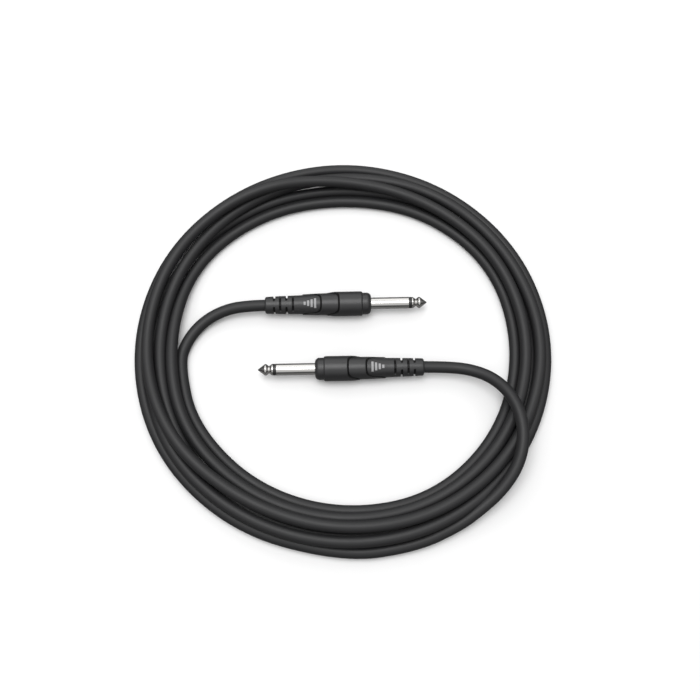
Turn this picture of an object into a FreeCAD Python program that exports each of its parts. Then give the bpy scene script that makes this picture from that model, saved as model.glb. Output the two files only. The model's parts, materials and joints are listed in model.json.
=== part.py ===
"""Instrument cable: a coaxial cable wound in a loose flat coil, with a straight moulded
6.35 mm mono jack plug on each end. Millimetres, +Z up, origin under the middle of the coil,
on the surface that the cable lies on."""
import FreeCAD, Part
import math
import os

V = FreeCAD.Vector
X_AXIS = V(1, 0, 0)
Z_AXIS = V(0, 0, 1)
ORIGIN = V(0, 0, 0)

# ---- driving dimensions: the cable ----
CABLE_D = 6.3                # outside diameter of the jacket
CABLE_R = CABLE_D / 2
BRAID_R = 2.2                # outside of the braid, which is the bore of the jacket
DIELECTRIC_R = 1.8
CONDUCTOR_R = 0.5

# ---- driving dimensions: the plug, measured from the end of its boot towards the tip ----
JACKET_END_X = 24.0          # how far the jacket runs into the plug
DIELECTRIC_END_X = 36.0
CONDUCTOR_END_X = 41.5
REAR_SEAM_X = 31.1           # boot to middle shell
FRONT_SEAM_X = 40.8          # middle shell to front shell
SEAM_GAP = 0.8
GRIP_END_X = 53.5            # front edge of the front shell
NOSE_END_X = 58.15           # front of the nose collar
SLEEVE_START_X = 58.3        # where the full width of the metal finger starts
SLEEVE_END_X = 78.9
RING_END_X = 80.6            # front face of the dark ring
TIP_END_X = 88.8
GRIP_R = 6.75                # the plug lies on this radius
NOSE_R = 5.95
SLEEVE_R = 3.175             # a 6.35 mm jack finger
SLEEVE_REAR_R = 2.95         # the part of the sleeve that the mould holds
ROD_R = 1.35
BORE_R = 2.15                # bore of the sleeve
CORE_R = 5.0                 # inner mould under the boot
CORE_MIDDLE_R = 5.1
CORE_FRONT_R = 5.6
CORE_START_X = 23.0
FLANGE_R = 3.9
FLANGE_X = (50.0, 51.5)
STRAP_Z = (-4.7, -4.05)       # ground strap under the wires

# ---- driving dimensions: the strain relief slots of the boot ----
SLOT_W = 1.1
FLANK_SLOTS_X = (5.1, 11.9)
FACE_SLOTS_X = (8.5, 15.5)
FLANK_SLOT_ANGLES = (24.0, 156.0)
FACE_SLOT_ANGLES = (16.0, 54.0)
SLOT_FLOOR_R = 3.75
FACE_GROOVE_DEPTH = 0.3

# ---- driving dimensions: how the two plugs lie ----
PLUG_A = {"boot": (-42.8, 21.95), "heading": 1.2, "roll": 14.5}
PLUG_B = {"boot": (43.3, -13.7), "heading": -178.9, "roll": -10.0}
PLUG_Z = GRIP_R

# ---- driving dimensions: the coil, read every 30 degrees from +X, anticlockwise ----
COIL_INNER_R = (90.0, 91.4, 89.0, 85.2, 87.8, 90.8, 88.4, 85.8, 85.3, 86.4, 89.9, 90.8)
COIL_OUTER_R = (112.6, 113.0, 112.8, 112.6, 112.4, 113.0, 112.6, 112.6, 112.2, 112.4, 117.2, 113.8)
COIL_HEIGHT = 12.4
COIL_EDGE_R = 3.0

# ---- routes of the two leads: corner points from the boot to the coil ----
LEAD_A_POINTS = [
    (-42.8, 21.95, 6.75), (-54.8, 21.7, 6.6), (-67.0, 19.0, 5.4), (-77.6, 12.5, 4.1),
    (-85.2, 2.4, 3.3), (-88.7, -10.3, 3.15),
]
LEAD_B_POINTS = [
    (43.3, -13.7, 6.75), (55.4, -13.7, 6.8), (68.4, -15.5, 7.9), (79.7, -21.3, 11.2),
    (87.8, -31.7, 15.2), (91.9, -44.3, 16.8), (92.1, -57.4, 16.4), (88.2, -69.8, 13.4),
    (80.2, -80.6, 9.6), (70.0, -89.2, 7.0), (58.9, -97.1, 4.8),
]


def revolve(points):
    """A solid of revolution about X from (x, radius) points, closed along the axis."""
    wire_points = [V(points[0][0], 0, 0)]
    wire_points += [V(x, 0, r) for x, r in points]
    wire_points.append(V(points[-1][0], 0, 0))
    kept = [p for n, p in enumerate(wire_points) if n == 0 or p.distanceToPoint(wire_points[n - 1]) > 1e-6]
    face = Part.Face(Part.makePolygon(kept + [kept[0]]))
    return face.revolve(ORIGIN, X_AXIS, 360)


def rod(x0, x1, r):
    return Part.makeCylinder(r, x1 - x0, V(x0, 0, 0), X_AXIS)


def tube(x0, x1, r_out, r_in):
    return rod(x0, x1, r_out).cut(rod(x0 - 1, x1 + 1, r_in))


def box(x, y, z):
    """A box between two x, two y and two z."""
    return Part.makeBox(x[1] - x[0], y[1] - y[0], z[1] - z[0], V(x[0], y[0], z[0]))


def arc_points(centre, radius, start, end, steps):
    """(x, r) points round an arc of a profile, angles in degrees."""
    out = []
    for n in range(steps + 1):
        a = math.radians(start + (end - start) * n / steps)
        out.append((centre[0] + radius * math.cos(a), centre[1] + radius * math.sin(a)))
    return out


# ---------------------------------------------------------------- metal finger
def make_tip():
    """Tip contact: centre rod, shoulder, waist, ball and cone, turned in one piece."""
    cone = 37.0
    nose_r = 0.45
    ball_r = 3.12
    ball_x = TIP_END_X - 4.2
    nose = arc_points((TIP_END_X - nose_r, 0), nose_r, 90 - cone, 0, 6)
    crown = arc_points((ball_x, ball_r - 0.9), 0.9, 125, 90 - cone, 8)
    waist = [(RING_END_X + 0.7, 3.04), (RING_END_X + 2.0, 2.15), (RING_END_X + 2.5, 2.05), (RING_END_X + 2.9, 2.15)]
    outline = [(48.5, ROD_R), (RING_END_X, ROD_R), (RING_END_X, 3.08)] + waist + crown + nose
    return revolve(outline)


def make_insulator():
    """Front ring and the tube that keeps the rod clear of the sleeve."""
    body = revolve([(FLANGE_X[0], BORE_R), (SLEEVE_END_X, BORE_R), (SLEEVE_END_X, 3.12),
                    (RING_END_X, 3.09)])
    return body.cut(rod(0, TIP_END_X, ROD_R))


def make_sleeve():
    """Sleeve contact with its rear flange."""
    body = revolve([(FLANGE_X[0], FLANGE_R), (FLANGE_X[1], FLANGE_R), (FLANGE_X[1], SLEEVE_REAR_R),
                    (SLEEVE_START_X, SLEEVE_REAR_R), (SLEEVE_START_X, SLEEVE_R),
                    (SLEEVE_END_X, SLEEVE_R)])
    return body.cut(rod(0, TIP_END_X, BORE_R))


def make_washer():
    return tube(48.5, FLANGE_X[0], 4.0, ROD_R)


def make_tip_lug():
    """Solder lug on the back of the rod, with its tail above the centre conductor."""
    return rod(47.7, 48.5, 2.4).fuse(box((39.0, 47.7), (-1.1, 1.1), (0.6, 1.2))).removeSplitter()


def make_ground_lug():
    """Ring round the sleeve, strap under the wires, and a crimp round the jacket."""
    ring = tube(FLANGE_X[1], FLANGE_X[1] + 0.8, 4.6, SLEEVE_REAR_R)
    strap = box((18.5, FLANGE_X[1] + 0.8), (-1.4, 1.4), STRAP_Z)
    crimp = tube(18.5, 22.0, 4.2, CABLE_R).cut(box((18.0, 22.5), (-1.5, 1.5), (0.0, 6.0)))
    return ring.fuse([strap, crimp]).removeSplitter()


# ---------------------------------------------------------------- cable end inside the plug
def make_jacket_end():
    return tube(0, JACKET_END_X, CABLE_R, BRAID_R)


def make_braid():
    """Braid round the dielectric, gathered below it into a flat pigtail on the ground strap."""
    low = STRAP_Z[1]
    side = [(24.3, -1.9), (25.0, -1.9), (28.6, low + 0.8), (33.0, low + 0.8), (33.0, low), (28.2, low), (24.3, -2.7)]
    ribbon = Part.Face(Part.makePolygon([V(x, -0.8, z) for x, z in side + side[:1]])).extrude(V(0, 1.6, 0))
    return rod(0, JACKET_END_X + 1.0, BRAID_R).fuse(ribbon).removeSplitter().cut(rod(-1, TIP_END_X, DIELECTRIC_R))


def make_dielectric():
    return tube(0, DIELECTRIC_END_X, DIELECTRIC_R, CONDUCTOR_R)


def make_conductor():
    return rod(0, CONDUCTOR_END_X, CONDUCTOR_R)


# ---------------------------------------------------------------- moulded body
def boot_profile():
    """Outside of the boot, which thickens towards the grip."""
    return arc_points((1.0, 3.66), 1.0, 180, 90, 5) + [(7.4, 4.9), (14.0, 5.1), (19.0, 5.2), (31.0, 5.85),
                                                     (40.0, 5.95)]


def middle_profile():
    return [(18.0, 5.5), (23.0, 5.72), (28.0, 5.98), (33.0, 6.06), (45.0, 6.12)]


def grip_profile():
    """Outside of the front shell, with a rounded front edge."""
    edge = arc_points((GRIP_END_X - 0.9, GRIP_R - 0.9), 0.9, 90, 0, 6)
    return [(32.0, 6.2), (35.0, 6.35), (36.8, 6.6), (38.6, GRIP_R)] + edge


def forward_of(seam_x, tongue, root, gap):
    """Everything ahead of a seam: a wall across the plug and a pointed tongue along each flank."""
    wall_x = seam_x - gap
    rise = gap * 0.45
    top = 12.0
    ahead = seam_x + 40.0
    corner = Part.Arc(V(wall_x, 0, root + 1.5), V(wall_x - 0.75, 0, root - 0.3 + rise),
                      V(wall_x - 0.32 * tongue, 0, 0.3 * root + rise)).toShape()
    mirror_corner = Part.Arc(V(wall_x - 0.32 * tongue, 0, -0.3 * root - rise),
                             V(wall_x - 0.75, 0, -root + 0.3 - rise), V(wall_x, 0, -root - 1.5)).toShape()
    point = V(wall_x - tongue, 0, 0)
    edges = [
        Part.makeLine(V(ahead, 0, -top), V(ahead, 0, top)),
        Part.makeLine(V(ahead, 0, top), V(wall_x, 0, top)),
        Part.makeLine(V(wall_x, 0, top), V(wall_x, 0, root + 1.5)),
        corner,
        Part.makeLine(V(wall_x - 0.32 * tongue, 0, 0.3 * root + rise), point),
        Part.makeLine(point, V(wall_x - 0.32 * tongue, 0, -0.3 * root - rise)),
        mirror_corner,
        Part.makeLine(V(wall_x, 0, -root - 1.5), V(wall_x, 0, -top)),
        Part.makeLine(V(wall_x, 0, -top), V(ahead, 0, -top)),
    ]
    face = Part.Face(Part.Wire(Part.__sortEdges__(edges)))
    face.translate(V(0, -top, 0))
    return face.extrude(V(0, 2 * top, 0))


def rear_cut(gap):
    return forward_of(REAR_SEAM_X + SEAM_GAP, 10.6, 3.6, gap)


def front_cut(gap):
    return forward_of(FRONT_SEAM_X + SEAM_GAP, 6.6, 4.2, gap)


def core_body():
    """Inner mould with the nose collar in front of the grip."""
    nose = arc_points((NOSE_END_X - 2.3, NOSE_R - 2.3), 2.3, 90, 0, 8)
    return revolve([(CORE_START_X, CORE_R), (REAR_SEAM_X + 0.4, CORE_R), (REAR_SEAM_X + 0.4, CORE_MIDDLE_R),
                    (FRONT_SEAM_X + 0.4, CORE_MIDDLE_R), (FRONT_SEAM_X + 0.4, CORE_FRONT_R),
                    (GRIP_END_X - 0.5, CORE_FRONT_R), (GRIP_END_X - 0.5, NOSE_R)] + nose)


def slot(x, start, end, floor_r=SLOT_FLOOR_R):
    """One radial slot of the strain relief, round the axis from one angle to another."""
    ring = tube(x - SLOT_W / 2, x + SLOT_W / 2, 8.0, floor_r)
    reach = 20.0
    rim = [V(x - 2, 0, 0)]
    for n in range(7):
        a = math.radians(start + (end - start) * n / 6)
        rim.append(V(x - 2, reach * math.sin(a), reach * math.cos(a)))
    sector = Part.Face(Part.makePolygon(rim + [rim[0]])).extrude(V(4, 0, 0))
    return ring.common(sector)


def strain_relief_slots():
    """Slots through the flanks, and pairs of slots with a low rib between on top and below."""
    cuts = []
    for x in FLANK_SLOTS_X:
        cuts.append(slot(x, *FLANK_SLOT_ANGLES))
        cuts.append(slot(x, -FLANK_SLOT_ANGLES[1], -FLANK_SLOT_ANGLES[0]))
    for x in FACE_SLOTS_X:
        for side in (0, 180):
            cuts.append(slot(x, side + FACE_SLOT_ANGLES[0], side + FACE_SLOT_ANGLES[1]))
            cuts.append(slot(x, side - FACE_SLOT_ANGLES[1], side - FACE_SLOT_ANGLES[0]))
            cuts.append(slot(x, side - FACE_SLOT_ANGLES[0], side + FACE_SLOT_ANGLES[0],
                             5.0 - FACE_GROOVE_DEPTH + 0.01 * x))
    return cuts


def make_boot(inside):
    body = revolve(boot_profile()).cut(rear_cut(SEAM_GAP).cut(rod(0, 60, CORE_R)))
    body = body.cut([rod(-1, JACKET_END_X, CABLE_R), core_body()] + inside)
    return body.cut(strain_relief_slots())


def make_middle_shell():
    ahead = front_cut(SEAM_GAP)
    body = revolve(middle_profile()).common(rear_cut(0)).cut(ahead)
    return body.cut([rod(0, REAR_SEAM_X + 0.4, CORE_R), core_body(), rod(REAR_SEAM_X, 60, CORE_MIDDLE_R)])


def make_front_shell():
    body = revolve(grip_profile()).common(front_cut(0))
    return body.cut([core_body(), rod(0, FRONT_SEAM_X + 0.4, CORE_MIDDLE_R)])


def make_plug():
    """Every piece of one plug, in its own frame, as name to solid."""
    pieces = {
        "tip": make_tip(),
        "insulator": make_insulator(),
        "sleeve": make_sleeve(),
        "washer": make_washer(),
        "tip_lug": make_tip_lug(),
        "ground_lug": make_ground_lug(),
        "jacket_end": make_jacket_end(),
        "braid": make_braid(),
        "dielectric": make_dielectric(),
        "conductor": make_conductor(),
    }
    inside = list(pieces.values())
    pieces["core_mould"] = core_body().cut(inside)
    pieces["boot"] = make_boot([pieces["ground_lug"]])
    pieces["middle_shell"] = make_middle_shell()
    pieces["front_shell"] = make_front_shell()
    return pieces


def place_plug(shape, pose):
    """Roll a plug about its axis, turn it to its heading and set its boot in place."""
    placed = shape.copy()
    placed.rotate(ORIGIN, X_AXIS, pose["roll"])
    placed.rotate(ORIGIN, Z_AXIS, pose["heading"])
    placed.translate(V(pose["boot"][0], pose["boot"][1], PLUG_Z))
    return placed


# ---------------------------------------------------------------- cord
def closed_outline(radii, offset, z):
    """A smooth closed line through one point every 30 degrees, at one height."""
    points = []
    for n, r in enumerate(radii):
        a = math.radians(360.0 * n / len(radii))
        points.append(V((r + offset) * math.cos(a), (r + offset) * math.sin(a), z))
    curve = Part.BSplineCurve()
    curve.interpolate(points, PeriodicFlag=True)
    return Part.Wire([curve.toShape()])


def coil_wall(radii, side):
    """The body inside one outline of the coil, drawn in (or out) at its top and bottom edges."""
    soft = COIL_EDGE_R * (1 - math.sqrt(0.5))
    levels = [(0.0, COIL_EDGE_R), (soft, soft), (COIL_EDGE_R, 0.0),
              (COIL_HEIGHT - COIL_EDGE_R, 0.0), (COIL_HEIGHT - soft, soft), (COIL_HEIGHT, COIL_EDGE_R)]
    return Part.makeLoft([closed_outline(radii, -side * inset, z) for z, inset in levels], True, True)


def make_coil():
    """Outer shape of the coil: a flat ring with rounded edges, lying on the surface."""
    return coil_wall(COIL_OUTER_R, 1).cut(coil_wall(COIL_INNER_R, -1))


def make_lead(name, corners):
    """A tube along straight runs joined by tangent arcs, as large as the runs allow."""
    points = [V(*p) for p in corners]
    edges = []
    start = points[0]
    for before, here, after in zip(points, points[1:], points[2:]):
        back = before - here
        on = after - here
        turn = math.pi - back.getAngle(on)
        shorter = min(back.Length, on.Length)
        cut = 0.45 * shorter
        radius = cut / math.tan(turn / 2)
        print("%s arc radius %.1f mm, turn %.1f deg, run %.1f mm" % (name, radius, math.degrees(turn), on.Length))
        back.normalize()
        on.normalize()
        first = here + back * cut
        last = here + on * cut
        bisector = back + on
        bisector.normalize()
        middle = here + bisector * (math.hypot(radius, cut) - radius)
        edges.append(Part.LineSegment(start, first).toShape())
        edges.append(Part.Arc(first, middle, last).toShape())
        start = last
    edges.append(Part.LineSegment(start, points[-1]).toShape())
    path = Part.Wire(edges)
    section = Part.Wire([Part.makeCircle(CABLE_R, points[0], points[1] - points[0])])
    solid = path.makePipeShell([section], True, True)
    print("%s length %.1f mm, volume over section times length %.4f" % (
        name, path.Length, solid.Volume / (math.pi * CABLE_R ** 2 * path.Length)))
    return solid


def save(name, shape):
    if not shape.isValid() or len(shape.Solids) != 1:
        print("CHECK", name, "valid", shape.isValid(), "solids", len(shape.Solids))
    solid = shape.Solids[0] if len(shape.Solids) == 1 else shape
    solid.exportStep("parts/%s.step" % name)
    box_ = solid.BoundBox
    print("%-22s %9.1f mm3  x %.1f..%.1f y %.1f..%.1f z %.2f..%.2f" % (
        name, solid.Volume, box_.XMin, box_.XMax, box_.YMin, box_.YMax, box_.ZMin, box_.ZMax))


def main():
    os.makedirs("parts", exist_ok=True)
    plug = make_plug()
    for prefix, pose in (("plug_a", PLUG_A), ("plug_b", PLUG_B)):
        for name, shape in plug.items():
            save("%s_%s" % (prefix, name), place_plug(shape, pose))
    coil = make_coil()
    save("coil", coil)
    save("lead_a", make_lead("lead_a", LEAD_A_POINTS).cut(coil))
    save("lead_b", make_lead("lead_b", LEAD_B_POINTS))  # its last stretch lies in the coil


main()
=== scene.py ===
# %% [markdown]
# # A coiled instrument cable
#
# The real thing is about 3.6 m of black coaxial cable with a straight moulded jack plug on each
# end. It has been wound by hand into a loose flat coil, and the two plugs lie side by side in the
# open middle, pointing opposite ways. We build it in the order in which the eye reads it: the
# floor and the light, the long soft line of the cable, then the two plugs.

# %% Load the fixed frame
import json
import math

import bmesh
import bpy
from mathutils import Matrix, Vector


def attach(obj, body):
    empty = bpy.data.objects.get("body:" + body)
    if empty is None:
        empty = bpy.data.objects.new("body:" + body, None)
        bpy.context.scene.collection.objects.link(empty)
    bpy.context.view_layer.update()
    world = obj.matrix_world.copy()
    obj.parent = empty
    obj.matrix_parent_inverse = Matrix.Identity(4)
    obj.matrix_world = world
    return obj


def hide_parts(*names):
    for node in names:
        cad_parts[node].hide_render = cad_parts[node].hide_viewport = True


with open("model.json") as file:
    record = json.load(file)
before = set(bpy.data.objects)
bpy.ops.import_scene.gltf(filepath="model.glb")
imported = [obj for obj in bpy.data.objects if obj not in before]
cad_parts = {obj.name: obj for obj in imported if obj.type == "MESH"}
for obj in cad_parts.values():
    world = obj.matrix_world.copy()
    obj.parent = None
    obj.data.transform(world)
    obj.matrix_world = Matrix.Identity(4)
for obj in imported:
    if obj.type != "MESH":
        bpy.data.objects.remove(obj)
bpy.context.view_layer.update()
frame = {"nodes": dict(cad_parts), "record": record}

MM = 0.001
record = frame["record"]
nodes = frame["nodes"]


# %% [markdown]
# ## Camera, floor and light
#
# The cable lies on a white table and is seen from steeply above, about 20 degrees off the
# vertical. The camera is close, half a metre away, so the near side of the coil looks a little
# larger than the far side. That is why the lens is set from the real distance instead of being
# left at a default: perspective comes from where the camera stands, and the lens only frames it.

# %% Camera
CAMERA_TILT = math.radians(19.5)
CAMERA_AT = (0.0038, -0.1519, 0.4242)

camera_data = bpy.data.cameras.new("table_camera")
camera_data.lens = 42.2
camera_data.sensor_width = 36.0
camera_data.clip_start = 0.01
camera = bpy.data.objects.new("table_camera", camera_data)
camera.location = CAMERA_AT
camera.rotation_euler = (CAMERA_TILT, 0.0, 0.0)
bpy.context.scene.collection.objects.link(camera)
bpy.context.scene.camera = camera
bpy.context.scene.view_settings.view_transform = "Standard"
print("camera %.0f mm above the table" % (CAMERA_AT[2] / MM))


# %% [markdown]
# A small material helper comes first. Every finish in this scene is one Principled shader with a
# few nodes in front of it, so the helper makes the shader and hands back its node tree.

# %% A helper for materials
def new_finish(name, colour, roughness, metallic=0.0, specular=0.5):
    """A Principled material with plain values; detail nodes are wired in afterwards."""
    material = bpy.data.materials.new(name)
    material.use_nodes = True
    shader = material.node_tree.nodes["Principled BSDF"]
    shader.inputs["Base Color"].default_value = (*colour, 1.0)
    shader.inputs["Roughness"].default_value = roughness
    shader.inputs["Metallic"].default_value = metallic
    shader.inputs["Specular IOR Level"].default_value = specular
    return material, material.node_tree, shader


# %% Floor
FLOOR_REACH = 3.0
CORNERS = ((-1, -1), (1, -1), (1, 1), (-1, 1))
floor_finish, _, _ = new_finish("table_white", (0.87, 0.87, 0.87), 0.9, specular=0.1)
floor_mesh = bpy.data.meshes.new("table_top")
floor_mesh.from_pydata([(FLOOR_REACH * x, FLOOR_REACH * y, 0.0) for x, y in CORNERS], [],
                       [(0, 1, 2, 3)])
floor_mesh.materials.append(floor_finish)
floor = bpy.data.objects.new("table_top", floor_mesh)
floor.visible_glossy = False
floor.visible_diffuse = False
bpy.context.scene.collection.objects.link(floor)


# %% [markdown]
# The light is a tall pale room, bright overhead and dark at the horizon, with one soft box above
# the object and a wider, weaker one behind it. The room fills the shadows, and the boxes draw the
# long pale lines along the tops of the plugs. Polished metal shows whatever surrounds it, so the
# dark horizon is what gives the fingers their dark lines. The table catches shadows, but it is
# not seen in reflections and throws no light back. A dimmer glow from below stands in for it, so
# that the flanks of the black plastic stay black.

# %% Room and soft boxes
HORIZON_STRENGTH = 0.03
OVERHEAD_STRENGTH = 0.88
OVERHEAD_FROM = 0.75             # how steeply up the full overhead strength is reached
BELOW_STRENGTH = 0.2
BELOW_FROM = -0.3
SOFT_BOX_POWER = 3.7
BACK_BOX_POWER = 1.8

world = bpy.data.worlds.new("pale_room")
world.use_nodes = True
room = world.node_tree
sky = room.nodes["Background"]
sky.inputs["Color"].default_value = (1.0, 1.0, 1.0, 1.0)
look = room.nodes.new("ShaderNodeTexCoord")
rise = room.nodes.new("ShaderNodeSeparateXYZ")
room.links.new(look.outputs["Generated"], rise.inputs["Vector"])
glow = []
for steepness, strength in ((OVERHEAD_FROM, OVERHEAD_STRENGTH), (BELOW_FROM, BELOW_STRENGTH)):
    fade = room.nodes.new("ShaderNodeMapRange")
    fade.interpolation_type = "SMOOTHSTEP"
    fade.inputs["From Min"].default_value = 0.0
    fade.inputs["From Max"].default_value = steepness
    fade.inputs["To Min"].default_value = HORIZON_STRENGTH / 2
    fade.inputs["To Max"].default_value = strength
    room.links.new(rise.outputs["Z"], fade.inputs["Value"])
    glow.append(fade.outputs["Result"])
both = room.nodes.new("ShaderNodeMath")
room.links.new(glow[0], both.inputs[0])
room.links.new(glow[1], both.inputs[1])
room.links.new(both.outputs[0], sky.inputs["Strength"])
bpy.context.scene.world = world


def add_soft_box(name, at, size, power):
    """A square area light at a point, aimed at the middle of the table."""
    light = bpy.data.lights.new(name, "AREA")
    light.shape = "SQUARE"
    light.size = size
    light.energy = power
    lamp = bpy.data.objects.new(name, light)
    lamp.location = at
    lamp.rotation_euler = (Vector(at) * -1.0).to_track_quat("-Z", "Y").to_euler()
    bpy.context.scene.collection.objects.link(lamp)


add_soft_box("soft_box", (-0.08, 0.04, 0.85), 0.52, SOFT_BOX_POWER)
add_soft_box("back_box", (-0.15, 0.8, 0.5), 0.9, BACK_BOX_POWER)
print("horizon", HORIZON_STRENGTH, "overhead", OVERHEAD_STRENGTH, "soft box", SOFT_BOX_POWER, "W")


# %% [markdown]
# ## Finishes
#
# Black plastic is never only black. Moulded PVC has a fine grain that breaks up its shine, and it
# picks up a little dust. The grain is the same idea on the cable and on the plugs, so it is a
# node group: it puts out a height for the bump and a mask that makes some spots a little duller.

# %% The grain group
def make_grain_group():
    """Fine moulded grain with a slow cloudy change over it, read in object space."""
    group = bpy.data.node_groups.new("moulded_grain", "ShaderNodeTree")
    for name, default in (("Fine Scale", 2600.0), ("Cloud Scale", 45.0), ("Cloud Amount", 0.5)):
        socket = group.interface.new_socket(name, in_out="INPUT", socket_type="NodeSocketFloat")
        socket.default_value = default
    group.interface.new_socket("Height", in_out="OUTPUT", socket_type="NodeSocketFloat")
    group.interface.new_socket("Dull", in_out="OUTPUT", socket_type="NodeSocketFloat")
    tree = group.nodes
    link = group.links.new
    given = tree.new("NodeGroupInput")
    out = tree.new("NodeGroupOutput")
    place = tree.new("ShaderNodeTexCoord")
    fine = tree.new("ShaderNodeTexNoise")
    fine.inputs["Detail"].default_value = 3.0
    cloud = tree.new("ShaderNodeTexNoise")
    cloud.inputs["Detail"].default_value = 2.0
    link(place.outputs["Object"], fine.inputs["Vector"])
    link(place.outputs["Object"], cloud.inputs["Vector"])
    link(given.outputs["Fine Scale"], fine.inputs["Scale"])
    link(given.outputs["Cloud Scale"], cloud.inputs["Scale"])
    weigh = tree.new("ShaderNodeMix")
    weigh.data_type = "FLOAT"
    link(given.outputs["Cloud Amount"], weigh.inputs["Factor"])
    link(fine.outputs["Fac"], weigh.inputs["A"])
    link(cloud.outputs["Fac"], weigh.inputs["B"])
    link(fine.outputs["Fac"], out.inputs["Height"])
    link(weigh.outputs["Result"], out.inputs["Dull"])
    return group


grain_group = make_grain_group()


# %% Using the grain in a finish
def add_grain(tree, shader, dark, light, smooth, rough, bump, fine_scale, cloud_scale):
    """Wires the grain group into a finish: colour, roughness and bump all vary with it."""
    grain = tree.nodes.new("ShaderNodeGroup")
    grain.node_tree = grain_group
    grain.inputs["Fine Scale"].default_value = fine_scale
    grain.inputs["Cloud Scale"].default_value = cloud_scale
    tint = tree.nodes.new("ShaderNodeMix")
    tint.data_type = "RGBA"
    tint.inputs["A"].default_value = (*dark, 1.0)
    tint.inputs["B"].default_value = (*light, 1.0)
    dullness = tree.nodes.new("ShaderNodeMapRange")
    dullness.inputs["From Min"].default_value = 0.3
    dullness.inputs["From Max"].default_value = 0.7
    dullness.inputs["To Min"].default_value = smooth
    dullness.inputs["To Max"].default_value = rough
    relief = tree.nodes.new("ShaderNodeBump")
    relief.inputs["Strength"].default_value = bump
    relief.inputs["Distance"].default_value = 0.0001
    link = tree.links.new
    link(grain.outputs["Dull"], tint.inputs["Factor"])
    link(tint.outputs["Result"], shader.inputs["Base Color"])
    link(grain.outputs["Dull"], dullness.inputs["Value"])
    link(dullness.outputs["Result"], shader.inputs["Roughness"])
    link(grain.outputs["Height"], relief.inputs["Height"])
    link(relief.outputs["Normal"], shader.inputs["Normal"])


# %% Black PVC, two grades
jacket_finish, tree, shader = new_finish("cable_jacket", (0.02, 0.02, 0.021), 0.5, specular=0.4)
add_grain(tree, shader, (0.014, 0.014, 0.015), (0.021, 0.021, 0.022), 0.44, 0.56, 0.35, 2200.0, 60.0)

mould_finish, tree, shader = new_finish("moulded_pvc", (0.024, 0.024, 0.025), 0.42)
add_grain(tree, shader, (0.018, 0.018, 0.019), (0.027, 0.027, 0.028), 0.3, 0.42, 0.45, 3400.0, 90.0)


# %% [markdown]
# The plugs have narrow slots and seams that no light reaches, and their shade is painted in. Their
# meshes carry an attribute of painted shade, which is 1 on the walls and floors of those cuts and 0
# everywhere else. The moulding's finish reads it and turns to a dull near-black there, as painted
# shade.

# %% Painted shade in the grooves of the moulding
def add_painted_groove_shade(tree, shader, colour, roughness):
    """Painted shade: mixes a finish to a near-black, dull one wherever the groove shade attribute is
    high.
    """
    mask = tree.nodes.new("ShaderNodeAttribute")
    mask.attribute_name = "groove_shade"
    plain_colour = shader.inputs["Base Color"].links[0].from_socket
    plain_roughness = shader.inputs["Roughness"].links[0].from_socket
    deep = tree.nodes.new("ShaderNodeMix")
    deep.data_type = "RGBA"
    deep.inputs["B"].default_value = (*colour, 1.0)
    dull = tree.nodes.new("ShaderNodeMix")
    dull.data_type = "FLOAT"
    dull.inputs["B"].default_value = roughness
    tree.links.new(mask.outputs["Fac"], deep.inputs["Factor"])
    tree.links.new(plain_colour, deep.inputs["A"])
    tree.links.new(deep.outputs["Result"], shader.inputs["Base Color"])
    tree.links.new(mask.outputs["Fac"], dull.inputs["Factor"])
    tree.links.new(plain_roughness, dull.inputs["A"])
    tree.links.new(dull.outputs["Result"], shader.inputs["Roughness"])


# Painted shade in the slots and seams: a near-black colour with a duller roughness.
add_painted_groove_shade(tree, shader, (0.003, 0.003, 0.003), 0.95)


# %% [markdown]
# Turned metal shows hair-fine rings from the lathe tool. The finger of the plug has its own UV
# map, with V running along the axis, so a noise that is stretched round the finger and tight
# along it gives those rings whatever way the plug lies.

# %% Nickel, dark ring and the hidden metals
def make_turned_metal(name, colour, smooth, rough, bump):
    """Polished metal with fine turning rings across V."""
    material, tree, shader = new_finish(name, colour, smooth, metallic=1.0)
    place = tree.nodes.new("ShaderNodeTexCoord")
    stretch = tree.nodes.new("ShaderNodeMapping")
    stretch.inputs["Scale"].default_value = (0.6, 900.0, 1.0)
    rings = tree.nodes.new("ShaderNodeTexNoise")
    rings.inputs["Scale"].default_value = 1.0
    rings.inputs["Detail"].default_value = 4.0
    spread = tree.nodes.new("ShaderNodeMapRange")
    spread.inputs["To Min"].default_value = smooth
    spread.inputs["To Max"].default_value = rough
    relief = tree.nodes.new("ShaderNodeBump")
    relief.inputs["Strength"].default_value = bump
    relief.inputs["Distance"].default_value = 0.00002
    link = tree.links.new
    link(place.outputs["UV"], stretch.inputs["Vector"])
    link(stretch.outputs["Vector"], rings.inputs["Vector"])
    link(rings.outputs["Fac"], spread.inputs["Value"])
    link(spread.outputs["Result"], shader.inputs["Roughness"])
    link(rings.outputs["Fac"], relief.inputs["Height"])
    link(relief.outputs["Normal"], shader.inputs["Normal"])
    return material


nickel_finish = make_turned_metal("polished_nickel", (0.62, 0.61, 0.595), 0.08, 0.18, 0.3)

ring_finish, tree, shader = new_finish("black_ring", (0.015, 0.015, 0.015), 0.3)
add_grain(tree, shader, (0.012, 0.012, 0.012), (0.02, 0.02, 0.02), 0.25, 0.38, 0.15, 4000.0, 300.0)

ink_finish, tree, shader = new_finish("pale_ink", (0.33, 0.33, 0.335), 0.6)
add_grain(tree, shader, (0.27, 0.27, 0.275), (0.38, 0.38, 0.385), 0.5, 0.7, 0.2, 5000.0, 700.0)

copper_finish, tree, shader = new_finish("bare_copper", (0.72, 0.36, 0.2), 0.3, metallic=1.0)
add_grain(tree, shader, (0.62, 0.3, 0.17), (0.78, 0.42, 0.25), 0.22, 0.4, 0.3, 3000.0, 400.0)

tinned_finish, tree, shader = new_finish("tinned_brass", (0.7, 0.69, 0.66), 0.35, metallic=1.0)
add_grain(tree, shader, (0.6, 0.59, 0.56), (0.75, 0.74, 0.71), 0.28, 0.45, 0.25, 3000.0, 300.0)

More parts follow.
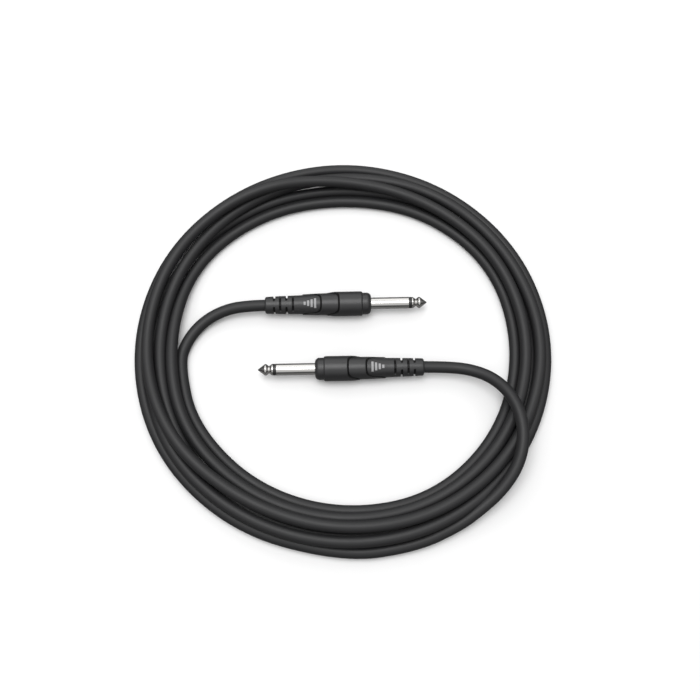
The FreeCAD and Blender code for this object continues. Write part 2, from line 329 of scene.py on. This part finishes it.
fibre_finish, tree, shader = new_finish("pressed_fibre", (0.25, 0.12, 0.06), 0.7)
add_grain(tree, shader, (0.2, 0.09, 0.05), (0.3, 0.16, 0.08), 0.6, 0.8, 0.3, 3000.0, 500.0)

core_finish, tree, shader = new_finish("clear_core_plastic", (0.85, 0.85, 0.82), 0.4)
add_grain(tree, shader, (0.8, 0.8, 0.77), (0.9, 0.9, 0.87), 0.33, 0.48, 0.15, 2500.0, 300.0)
print("finishes:", len(bpy.data.materials))


# %% [markdown]
# ## The cable
#
# A cable is one line with a round section, so it is one NURBS curve with a bevel and never a row
# of tubes. The line starts straight out of one plug, swings round into the coil, goes five and a
# half times round, and comes back over the top of the coil to the other plug.
#
# The two ends are placed point by point. The coil is a loop: twelve points for each
# turn, one at each clock position, and for each we choose how far out the cable passes and how
# high it lies. Nobody winds a coil evenly, so the turns drift outwards, cross, and ride up on one
# another. A turn on the table has its centre 3.15 mm up, one lying in the groove between two
# others about 8 or 9 mm, and one on top of a crossing 12 mm or more.

# %% The route of the cable
CABLE_R = 3.15
FIRST_LEAD = [
    (-42.8, 21.95, 6.75), (-54.8, 21.7, 6.6), (-67.0, 19.0, 5.4), (-77.6, 12.5, 4.1),
    (-85.2, 2.4, 3.3), (-88.7, -10.3, 3.15),
]
LAST_LEAD = [
    (36.5, -107.2, 3.4), (58.9, -97.1, 4.8), (70.0, -89.2, 7.0), (80.2, -80.6, 9.6),
    (88.2, -69.8, 13.4), (92.1, -57.4, 16.4), (91.9, -44.3, 16.8), (87.8, -31.7, 15.2),
    (79.7, -21.3, 11.2), (68.4, -15.5, 7.9), (55.4, -13.7, 6.8), (43.3, -13.7, 6.75),
]
# How far out each turn passes, at every 30 degrees from the left-hand side, anticlockwise.
TURN_RADII = [
    [None, 88.6, 88.2, 89.5, 93.5, 94.0, 93.5, 94.8, 91.6, 87.8, 90.7, 94.7],
    [91.5, 94.0, 93.0, 94.0, 97.0, 98.5, 98.5, 98.0, 96.0, 96.0, 101.0, 106.0],
    [105.0, 102.5, 97.5, 98.5, 102.5, 105.0, 106.5, 104.5, 104.3, 101.4, 99.6, 99.2],
    [98.0, 99.5, 101.0, 102.0, 103.5, 102.5, 102.0, 101.0, 98.4, 94.7, 97.2, 101.7],
    [103.5, 106.5, 105.0, 105.5, 108.5, 109.5, 110.0, 110.0, 109.5, 109.5, 109.5, 110.5],
    [110.0, 110.0, 108.8, 108.4],
]
LOW = CABLE_R
TURN_HEIGHTS = [
    [None] + [LOW] * 11,
    [9.0, 8.0, 8.5, 8.5, 8.5, 8.0, 8.0, 9.0, 9.0, 11.0, 17.5, 12.5],
    [10.5, 14.5, 12.5, 13.0, 11.5, 9.5, 8.5, 8.5, 7.5, 6.5, 9.5, 9.3],
    [9.0, 6.0] + [LOW] * 10,
    [LOW, 8.0, 9.0, 9.0, 9.0, 4.5] + [LOW] * 6,
    [LOW] * 4,
]


def coil_points():
    """Control points of the turns. A curve of this order passes inside its points, by the cosine
    of half a step, so each point stands that much further out than the cable does."""
    step = math.radians(30.0)
    stand_off = 1.0 / math.cos(step / 2)
    points = []
    for radii, heights in zip(TURN_RADII, TURN_HEIGHTS):
        for clock, (radius, height) in enumerate(zip(radii, heights)):
            if radius is None:
                continue
            angle = math.pi + clock * step
            out = radius * stand_off
            points.append((out * math.cos(angle), out * math.sin(angle), height))
    return points


route = FIRST_LEAD + coil_points() + LAST_LEAD
print("cable route:", len(route), "points")


# %% The cable itself
def make_cable(name, points, radius, finish):
    """One open NURBS line through millimetre points, with a round bevel."""
    data = bpy.data.curves.new(name, "CURVE")
    data.dimensions = "3D"
    data.resolution_u = 12
    data.bevel_depth = radius * MM
    data.bevel_resolution = 7
    data.use_fill_caps = True
    spline = data.splines.new("NURBS")
    spline.points.add(len(points) - 1)
    for point, (x, y, z) in zip(spline.points, points):
        point.co = (x * MM, y * MM, z * MM, 1.0)
    spline.order_u = 3
    spline.use_endpoint_u = True
    data.materials.append(finish)
    cable = bpy.data.objects.new(name, data)
    bpy.context.scene.collection.objects.link(cable)
    return cable


def measure_line(cable):
    """The length of a curve's own line in metres, from the curve with its bevel taken off."""
    bare = cable.data.copy()
    bare.bevel_depth = 0.0
    probe = bpy.data.objects.new("probe", bare)
    bpy.context.scene.collection.objects.link(probe)
    graph = bpy.context.evaluated_depsgraph_get()
    mesh = bpy.data.meshes.new_from_object(probe.evaluated_get(graph))
    length = sum((mesh.vertices[e.vertices[0]].co - mesh.vertices[e.vertices[1]].co).length
                 for e in mesh.edges)
    bpy.data.meshes.remove(mesh)
    bpy.data.objects.remove(probe)
    bpy.data.curves.remove(bare)
    return length


cable = make_cable("cable", route, CABLE_R, jacket_finish)
cable_length = measure_line(cable)
print("cable length between the boots: %.3f m" % cable_length)
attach(cable, "root")
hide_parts("coil", "lead_a", "lead_b")


# %% [markdown]
# ## The plugs
#
# Both plugs are the same moulding, lying in two poses. It is easiest to build one plug along its
# own axis, with zero at the cable end, and then put every finished mesh in place with one matrix.
# Where each plug lies is read from its mount, which is a point on the axis of the metal finger
# 68.6 mm from the cable end. The roll about that axis is the only thing chosen here: neither plug
# lies exactly flat.

# %% Where the plugs lie
MOUNT_X = 68.6
ROLLS = {"plug_a": 14.5, "plug_b": -10.0}
mounts = {m["name"]: m for m in record["mounts"]}


def plug_pose(mount_name, roll):
    """The matrix from a plug's own millimetres to the frame's metres."""
    mount = mounts[mount_name]
    axis = Vector(mount["axis"])
    boot_end = Vector(mount["pos_m"]) - axis * MOUNT_X * MM
    turn = Matrix.Rotation(math.atan2(axis.y, axis.x), 4, "Z")
    return Matrix.Translation(boot_end) @ turn @ Matrix.Rotation(math.radians(roll), 4, "X") \
        @ Matrix.Scale(MM, 4)


POSES = {
    "plug_a": plug_pose("jack_a", ROLLS["plug_a"]),
    "plug_b": plug_pose("jack_b", ROLLS["plug_b"]),
}
for plug, pose in POSES.items():
    print(plug, "cable end at", [round(v, 4) for v in pose.translation])


# %% [markdown]
# Round pieces are all made by one helper. It takes rings of points, each ring a list of
# (x, radius) pairs round the axis, joins each ring to the next, and joins the last back to the
# first, so the result is one closed skin. When a ring's x and radius change with the angle, the
# same helper makes slots, tongues and slanted seams.

# %% A closed skin from rings
def smooth_step(value):
    """0 below 0, 1 above 1, and a soft curve between."""
    value = min(max(value, 0.0), 1.0)
    return value * value * (3.0 - 2.0 * value)


def skin(name, rings, finish, closed=True, angles=None):
    """A mesh in the plug's own millimetres. rings[i][j] is (x, radius) at the j-th angle, or
    (x, radius, shade) where the surface is down in a cut; shade is the weight of painted shade
    there."""
    columns = len(rings[0])
    vertices = []
    groove_shades = []
    faces = []
    for ring in rings:
        for j, (x, radius, *groove_shade) in enumerate(ring):
            angle = angles[j] if angles else 2 * math.pi * j / columns
            vertices.append((x, radius * math.sin(angle), radius * math.cos(angle)))
            groove_shades.append(groove_shade[0] if groove_shade else 0.0)
    count = len(rings)
    for i in range(count if closed else count - 1):
        here, there = i * columns, ((i + 1) % count) * columns
        for j in range(columns):
            k = (j + 1) % columns
            faces.append((here + j, here + k, there + k, there + j))
    mesh = bpy.data.meshes.new(name)
    mesh.from_pydata(vertices, [], faces)
    # The third values become an attribute that paints shade into the cuts.
    if any(groove_shades):
        mesh.attributes.new("groove_shade", "FLOAT", "POINT").data.foreach_set("value", groove_shades)
    uv = mesh.uv_layers.new(name="around_and_along")
    for polygon in mesh.polygons:
        for loop in polygon.loop_indices:
            index = mesh.loops[loop].vertex_index
            x = vertices[index][0]
            uv.data[loop].uv = ((index % columns) / columns, x / 100.0)
    build = bmesh.new()
    build.from_mesh(mesh)
    bmesh.ops.remove_doubles(build, verts=build.verts, dist=1e-5)
    bmesh.ops.recalc_face_normals(build, faces=build.faces)
    build.to_mesh(mesh)
    build.free()
    mesh.polygons.foreach_set("use_smooth", [True] * len(mesh.polygons))
    mesh.materials.append(finish)
    return mesh


def round_rings(profile, columns):
    """Rings for a plain turned shape: the same (x, radius) all the way round."""
    return [[point] * columns for point in profile]


def arc(centre, radius, start, end, steps):
    """Points round an arc of a profile, angles in degrees."""
    points = []
    for n in range(steps + 1):
        angle = math.radians(start + (end - start) * n / steps)
        points.append((centre[0] + radius * math.cos(angle), centre[1] + radius * math.sin(angle)))
    return points


pieces = {"plug_a": [], "plug_b": []}


def place_on_plugs(mesh, name, slot, *stands_for):
    """Puts a copy of a finished mesh on each plug and hands it to the frame."""
    for plug, pose in POSES.items():
        copy = mesh.copy()
        copy.transform(pose)
        piece = bpy.data.objects.new("%s_%s" % (name, plug[-1]), copy)
        bpy.context.scene.collection.objects.link(piece)
        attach(piece, "root")
        if stands_for:
            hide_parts(*["%s_%s" % (plug, node) for node in stands_for])
        pieces[plug].append(piece)
    print("%s: %d faces" % (name, len(mesh.polygons)))
    bpy.data.meshes.remove(mesh)


# %% [markdown]
# ### The metal finger
#
# The finger is three turned pieces: a tip with a cone, a ball edge and a waist that a socket's
# spring drops into, a thin black ring, and the long sleeve. Each is its real profile spun round
# the axis, so the tip keeps its rod inside the sleeve and the sleeve keeps its bore.

# %% Tip, ring and sleeve
SPIN = 96                        # columns round a turned piece
CREASE = math.radians(38)        # edges sharper than this stay sharp
ROD_R = 1.35
SLEEVE_R = 3.175
REAR_X = 50.0                    # where the sleeve and the ring's tube start
SLEEVE_START = 58.3
SLEEVE_END = 78.9
RING_END = 80.6

tip_profile = (
    [(48.5, 0.0), (48.5, ROD_R), (RING_END, ROD_R), (RING_END, 3.0), (80.68, 3.08), (81.15, 3.08)]
    + arc((81.15, 2.88), 0.2, 90, 50, 3) + arc((82.8, 2.55), 0.5, 225, 315, 8)
    + arc((84.65, 2.22), 0.9, 128, 53, 12) + arc((88.38, 0.0), 0.42, 53, 0, 6)
)
tip = skin("tip", round_rings(tip_profile, SPIN), nickel_finish, closed=False)
tip.set_sharp_from_angle(angle=CREASE)
place_on_plugs(tip, "tip", "nickel", "tip")

ring_profile = [
    (REAR_X, 2.13), (SLEEVE_END, 2.13), (SLEEVE_END, 3.02), (78.98, 3.1), (80.52, 3.08),
    (RING_END, 3.0), (RING_END, 1.37), (REAR_X, 1.37),
]
ring = skin("insulating_ring", round_rings(ring_profile, SPIN), ring_finish)
ring.set_sharp_from_angle(angle=CREASE)
place_on_plugs(ring, "insulating_ring", "ring_plastic", "insulator")

sleeve_profile = [
    (REAR_X, 3.9), (51.5, 3.9), (51.5, 2.93), (SLEEVE_START, 2.93), (SLEEVE_START, 3.12),
    *[(x, SLEEVE_R) for x in (58.36, 63.5, 68.6, 73.7, 78.8)],
    (SLEEVE_END, 3.09), (SLEEVE_END, 2.15), (REAR_X, 2.15),
]
sleeve = skin("sleeve", round_rings(sleeve_profile, SPIN), nickel_finish)
sleeve.set_sharp_from_angle(angle=CREASE)
place_on_plugs(sleeve, "sleeve", "nickel", "sleeve")


# %% [markdown]
# ### The moulded body
#
# Three black shells sit one behind the other over an inner core. The seams between them run
# straight across the top, then sweep back along each flank into a pointed tongue. So each shell
# is a skin whose end rings follow a line: for each angle round the plug we ask how far up or down
# that point is, and read from the seam's outline where the shell ends there. The columns stand
# closer together on the flanks, where the tongues are.

# %% Lines that the shells follow
COLUMNS = 192
# The rounded edge of a shell, as (distance in from its wall, drop below its surface).
LIP = ((0.0, 0.17), (0.03, 0.08), (0.08, 0.03), (0.16, 0.0))

BOOT_OUTSIDE = [(0.0, 4.6), (1.0, 4.66), (7.4, 4.9), (14.0, 5.1), (19.0, 5.2), (31.0, 5.85)]
MIDDLE_OUTSIDE = [(18.0, 5.6), (23.0, 5.74), (28.0, 5.98), (33.0, 6.06), (41.0, 6.12)]
GRIP_OUTSIDE = [(32.0, 6.2), (35.0, 6.3), (36.8, 6.6), (38.6, 6.75), (53.0, 6.75)]

# Seam outlines as (distance up or down from the middle of the flank, distance along the plug).
BOOT_ENDS = [
    (0.0, 19.8), (0.8, 20.0), (2.2, 22.5), (2.9, 27.2),
    (3.6, 28.9), (4.4, 29.9), (5.2, 30.4), (6.2, 30.6),
]
MIDDLE_STARTS = [
    (0.0, 20.48), (0.2, 20.68), (1.5, 22.88), (2.2, 27.38),
    (3.0, 29.48), (3.8, 30.48), (4.8, 31.08), (6.2, 31.28),
]
MIDDLE_ENDS = [
    (0.0, 33.5), (0.7, 33.6), (2.3, 35.6), (3.0, 37.6),
    (3.7, 38.9), (4.6, 39.8), (5.6, 40.2), (6.8, 40.3),
]
GRIP_STARTS = [
    (0.0, 34.18), (0.2, 34.38), (1.6, 35.88), (2.3, 37.88),
    (3.0, 39.28), (3.9, 40.28), (5.0, 40.78), (6.8, 40.98),
]


def along(table, value):
    """Straight-line reading of a table of pairs."""
    for (x0, y0), (x1, y1) in zip(table, table[1:]):
        if value <= x1:
            return y0 + (y1 - y0) * max(value - x0, 0.0) / (x1 - x0)
    return table[-1][1]


def column_angle(j):
    """The angle of a column from the top, with the columns drawn together on the flanks."""
    even = 2 * math.pi * j / COLUMNS
    return even + 0.25 * math.sin(2 * even)


ANGLES = [column_angle(j) for j in range(COLUMNS)]


def seam(outline, radius):
    """Where a seam lies at each column."""
    return [along(outline, abs(radius * math.cos(a))) for a in ANGLES]


# %% [markdown]
# The cable end of the boot has slots cut across it, so that it bends instead of kinking. They
# alternate: one slot goes round each flank and leaves a rib along the top and bottom, and the
# next is cut into the top and bottom and leaves the flanks whole. A slot is a stretched pill
# shape on the surface, so its depth at any point is found from the distance to a short line.

# %% Slots of the strain relief
SLOT_HALF_WIDTH = 0.57
SLOT_EDGE = 0.05
SLOT_FLOOR = 3.75
SHALLOW_DEPTH = 0.3
SHALLOW_GROOVE_SHADE = 0.8             # how much painted shade the shallow cut gets, where a deep slot gets 1
FLANK_SLOTS = (5.1, 11.9)
FACE_SLOTS = (8.5, 15.5)
# The stretches that the slots take up, in degrees from the top, down either side.
FLANK_SPAN = (29.0, 151.0)
FACE_DEEP_SPANS = ((21.0, 49.0), (131.0, 159.0))
FACE_SHALLOW_SPANS = ((-1.0, 21.0), (159.0, 181.0))


def pill(x, angle, slot_x, start, end, radius):
    """1 inside a slot, 0 outside it, with a rounded edge between. Angles in degrees."""
    past = max(start - angle, angle - end, 0.0)
    away = math.hypot(x - slot_x, radius * math.radians(past))
    return smooth_step((SLOT_HALF_WIDTH + SLOT_EDGE - away) / (2 * SLOT_EDGE))


def slotted_point(x, angle):
    """The outside of the boot at a point, with the slots taken out: x, radius and painted shade."""
    radius = along(BOOT_OUTSIDE, x)
    turned = abs((math.degrees(angle) + 180.0) % 360.0 - 180.0)
    deep = max(pill(x, turned, slot_x, *FLANK_SPAN, radius) for slot_x in FLANK_SLOTS)
    shallow = 0.0
    for slot_x in FACE_SLOTS:
        deep = max(deep, *[pill(x, turned, slot_x, *span, radius) for span in FACE_DEEP_SPANS])
        shallow = max(shallow,
                      *[pill(x, turned, slot_x, *span, radius) for span in FACE_SHALLOW_SPANS])
    radius -= (radius - SLOT_FLOOR) * deep + SHALLOW_DEPTH * shallow * (1.0 - deep)
    # Deep slots get full painted shade, shallow cuts a share of it.
    return x, radius, max(deep, SHALLOW_GROOVE_SHADE * shallow)


# %% Rings that the shells share
GROOVE_SHADE_DROP = 0.1                # a lip point lower than this is part of the seam and gets painted shade
TUCK_BACK = 1.1
TUCK_THICKNESS = 0.06


def edge_rings(edges, outside, towards):
    """The rounded edge of a shell, from its wall out to its surface. towards is +1 or -1."""
    rings = []
    for inset, drop in LIP:
        # Lip points down in the seam get full painted shade.
        groove_shade = 1.0 if drop > GROOVE_SHADE_DROP else 0.0
        rings.append([(e + towards * inset, along(outside, e) - drop, groove_shade) for e in edges])
    return rings


def body_rings(starts, ends, outside, count):
    """Plain rings over a shell, spread evenly between its two edges."""
    rings = []
    for n in range(1, count):
        share = n / count
        ring = []
        for s, e in zip(starts, ends):
            x = (s + LIP[-1][0]) * (1 - share) + (e - LIP[-1][0]) * share
            ring.append((x, along(outside, x)))
        rings.append(ring)
    return rings


def flat_ring(x, radius, groove_shade=0.0):
    """A ring square to the axis, with an optional weight of painted shade."""
    return [(x, radius, groove_shade)] * COLUMNS


def tucked_lip(starts, radius):
    """A thin lip that runs back from a shell, under the shell behind it, and floors the seam. It
    carries full painted shade.
    """
    corners = ((TUCK_BACK, 0.0), (TUCK_BACK, TUCK_THICKNESS), (0.0, TUCK_THICKNESS))
    return [[(s - back, radius + up, 1.0) for s in starts] for back, up in corners]


# %% Boot
BOOT_BORE = 3.17
BOOT_LINING = 5.12               # inside of the thin front part of the boot, over the core
LINING_START = 23.0
SLOTS_END = 18.0
# Rings near a slot's middle: close together at its two edges, wide apart elsewhere.
HALF_STEPS = (0.3, 0.46, 0.53, 0.56, 0.59, 0.62, 0.66, 0.95)
STEPS = [-step for step in reversed(HALF_STEPS)] + [0.0, *HALF_STEPS, 1.7]

boot_stations = [1.0, 1.9, 2.8, 3.6]
for slot_x in sorted(FLANK_SLOTS + FACE_SLOTS):
    boot_stations += [slot_x + step for step in STEPS]
boot_stations.append(SLOTS_END)

boot_end = seam(BOOT_ENDS, 5.6)
boot_rings = [flat_ring(0.25, BOOT_BORE), flat_ring(0.05, 3.3)]
boot_rings += [flat_ring(x, r) for x, r in arc((1.0, 3.66), 1.0, 180, 100, 6)]
boot_rings += [[slotted_point(x, a) for a in ANGLES] for x in boot_stations]
boot_rings += body_rings([SLOTS_END] * COLUMNS, boot_end, BOOT_OUTSIDE, 22)
boot_rings += edge_rings(boot_end, BOOT_OUTSIDE, -1)[::-1]
# The lining seen down the seam carries full painted shade.
boot_rings.append([(e, BOOT_LINING, 1.0) for e in boot_end])
boot_rings += [flat_ring(LINING_START, BOOT_LINING, 1.0), flat_ring(LINING_START, BOOT_BORE)]
boot = skin("boot", boot_rings, mould_finish, angles=ANGLES)
place_on_plugs(boot, "boot", "mould", "boot")


# %% Middle shell and grip
MIDDLE_BORE = 5.03
MIDDLE_LINING = 5.22
MIDDLE_LINING_START = 31.7
GRIP_BORE = 5.12
GRIP_FRONT_BORE = 5.62
GRIP_STEP_X = 41.2
GRIP_ROUND_X = 52.6              # where the rounding of the grip's front edge starts

middle_start = seam(MIDDLE_STARTS, 5.8)
middle_end = seam(MIDDLE_ENDS, 6.1)
middle_rings = tucked_lip(middle_start, MIDDLE_BORE)
middle_rings += edge_rings(middle_start, MIDDLE_OUTSIDE, 1)
middle_rings += body_rings(middle_start, middle_end, MIDDLE_OUTSIDE, 20)
middle_rings += edge_rings(middle_end, MIDDLE_OUTSIDE, -1)[::-1]
# The lining seen down the seam carries full painted shade.
middle_rings.append([(e, MIDDLE_LINING, 1.0) for e in middle_end])
middle_rings += [flat_ring(MIDDLE_LINING_START, MIDDLE_LINING, 1.0),
                 flat_ring(MIDDLE_LINING_START, MIDDLE_BORE)]
middle = skin("middle_shell", middle_rings, mould_finish, angles=ANGLES)
place_on_plugs(middle, "middle_shell", "mould", "middle_shell")

grip_start = seam(GRIP_STARTS, 6.6)
grip_rings = tucked_lip(grip_start, GRIP_BORE)
grip_rings += edge_rings(grip_start, GRIP_OUTSIDE, 1)
grip_rings += body_rings(grip_start, [GRIP_ROUND_X + LIP[-1][0]] * COLUMNS, GRIP_OUTSIDE, 30)
grip_rings += [flat_ring(x, r) for x, r in arc((GRIP_ROUND_X, 5.85), 0.9, 90, 0, 8)]
grip_rings += [flat_ring(53.5, GRIP_FRONT_BORE), flat_ring(GRIP_STEP_X, GRIP_FRONT_BORE),
               flat_ring(GRIP_STEP_X, GRIP_BORE)]
grip = skin("grip", grip_rings, mould_finish, angles=ANGLES)
place_on_plugs(grip, "grip", "mould", "front_shell")


# %% [markdown]
# ### The printed mark
#
# The flat top of each boot carries a small pale print. Ours is a plain row of rising bars, like a
# level meter. Bars that repeat are a job for Geometry Nodes: a line of points, one bar on each
# point, each a little longer than the last, and then the flat row is bent round the boot. The
# nodes end by making the copies real and giving them their ink.

# %% Bars made with Geometry Nodes
def make_bar_nodes():
    """The node group that makes the printed bars, in a plug's own millimetres."""
    group = bpy.data.node_groups.new("level_bars", "GeometryNodeTree")
    sockets = (("Bars", "NodeSocketInt", 4), ("Spacing", "NodeSocketFloat", 1.9),
               ("Bar Width", "NodeSocketFloat", 1.15), ("First Length", "NodeSocketFloat", 1.8),
               ("Growth", "NodeSocketFloat", 1.25), ("Start", "NodeSocketFloat", 21.9),
               ("Boot Radius", "NodeSocketFloat", 5.357), ("Flare", "NodeSocketFloat", 0.0542),
               ("Ink Thickness", "NodeSocketFloat", 0.05), ("Ink", "NodeSocketMaterial", None))
    for name, kind, default in sockets:
        socket = group.interface.new_socket(name, in_out="INPUT", socket_type=kind)
        if default is not None:
            socket.default_value = default
    group.interface.new_socket("Mesh", in_out="OUTPUT", socket_type="NodeSocketGeometry")
    add = group.nodes.new
    link = group.links.new
    given = add("NodeGroupInput")
    out = add("NodeGroupOutput")

    def maths(operation, first, second=None):
        """One Math node, fed by sockets or plain numbers."""
        node = add("ShaderNodeMath")
        node.operation = operation
        for socket, value in zip(node.inputs, (first, second)):
            if value is None:
                continue
            if isinstance(value, (int, float)):
                socket.default_value = value
            else:
                link(value, socket)
        return node.outputs[0]

    offset = add("ShaderNodeCombineXYZ")
    link(given.outputs["Spacing"], offset.inputs["X"])
    row = add("GeometryNodeMeshLine")
    link(given.outputs["Bars"], row.inputs["Count"])
    link(offset.outputs[0], row.inputs["Offset"])
    bar_size = add("ShaderNodeCombineXYZ")
    link(given.outputs["Bar Width"], bar_size.inputs["X"])
    bar_size.inputs["Y"].default_value = 1.0
    link(given.outputs["Ink Thickness"], bar_size.inputs["Z"])
    bar = add("GeometryNodeMeshCube")
    link(bar_size.outputs[0], bar.inputs["Size"])
    bar.inputs["Vertices Y"].default_value = 17
    index = add("GeometryNodeInputIndex")
    length = maths("ADD", given.outputs["First Length"],
                   maths("MULTIPLY", given.outputs["Growth"], index.outputs[0]))
    stretch = add("ShaderNodeCombineXYZ")
    stretch.inputs["X"].default_value = 1.0
    link(length, stretch.inputs["Y"])
    stretch.inputs["Z"].default_value = 1.0
    copies = add("GeometryNodeInstanceOnPoints")
    link(row.outputs["Mesh"], copies.inputs["Points"])
    link(bar.outputs["Mesh"], copies.inputs["Instance"])
    link(stretch.outputs[0], copies.inputs["Scale"])
    real = add("GeometryNodeRealizeInstances")
    link(copies.outputs[0], real.inputs[0])

    flat = add("GeometryNodeInputPosition")
    split = add("ShaderNodeSeparateXYZ")
    link(flat.outputs[0], split.inputs[0])
    surface = maths("ADD", given.outputs["Boot Radius"],
                    maths("MULTIPLY", given.outputs["Flare"], split.outputs["X"]))
    angle = maths("DIVIDE", split.outputs["Y"], surface)
    radius = maths("ADD", surface, split.outputs["Z"])
    bent = add("ShaderNodeCombineXYZ")
    link(maths("ADD", split.outputs["X"], given.outputs["Start"]), bent.inputs["X"])
    link(maths("MULTIPLY", radius, maths("SINE", angle)), bent.inputs["Y"])
    link(maths("MULTIPLY", radius, maths("COSINE", angle)), bent.inputs["Z"])
    move = add("GeometryNodeSetPosition")
    link(real.outputs[0], move.inputs["Geometry"])
    link(bent.outputs[0], move.inputs["Position"])
    paint = add("GeometryNodeSetMaterial")
    link(move.outputs[0], paint.inputs["Geometry"])
    link(given.outputs["Ink"], paint.inputs["Material"])
    link(paint.outputs[0], out.inputs["Mesh"])
    return group


bar_nodes = make_bar_nodes()
holder = bpy.data.objects.new("bar_holder", bpy.data.meshes.new("bar_holder"))
bpy.context.scene.collection.objects.link(holder)
modifier = holder.modifiers.new("bars", "NODES")
modifier.node_group = bar_nodes
for item in bar_nodes.interface.items_tree:
    if item.item_type == "SOCKET" and item.in_out == "INPUT" and item.name == "Ink":
        modifier[item.identifier] = ink_finish
graph = bpy.context.evaluated_depsgraph_get()
bars = bpy.data.meshes.new_from_object(holder.evaluated_get(graph), depsgraph=graph)
holder.modifiers.remove(modifier)
bpy.data.objects.remove(holder)
place_on_plugs(bars, "level_bars", "mould")


# %% [markdown]
# ## Finishes on the frame's own parts
#
# The nose collar with the core under the shells, and everything sealed inside the plugs, have the
# right shape already. They keep it and only get their finish.

# %% Finishes for the parts that stay
FRAME_FINISHES = {
    "core_mould": mould_finish, "jacket_end": jacket_finish, "washer": fibre_finish,
    "tip_lug": tinned_finish, "ground_lug": tinned_finish, "braid": copper_finish,
    "conductor": copper_finish, "dielectric": core_finish,
}
for plug in POSES:
    for part, finish in FRAME_FINISHES.items():
        node = nodes["%s_%s" % (plug, part)]
        for material_slot in node.material_slots:
            material_slot.material = finish
        pieces[plug].append(node)
    print(plug, "has", len(pieces[plug]), "pieces")


# %% [markdown]
# ## Finish
#
# The last step brings the view layer up to date.

# %% Finish
bpy.context.view_layer.update()
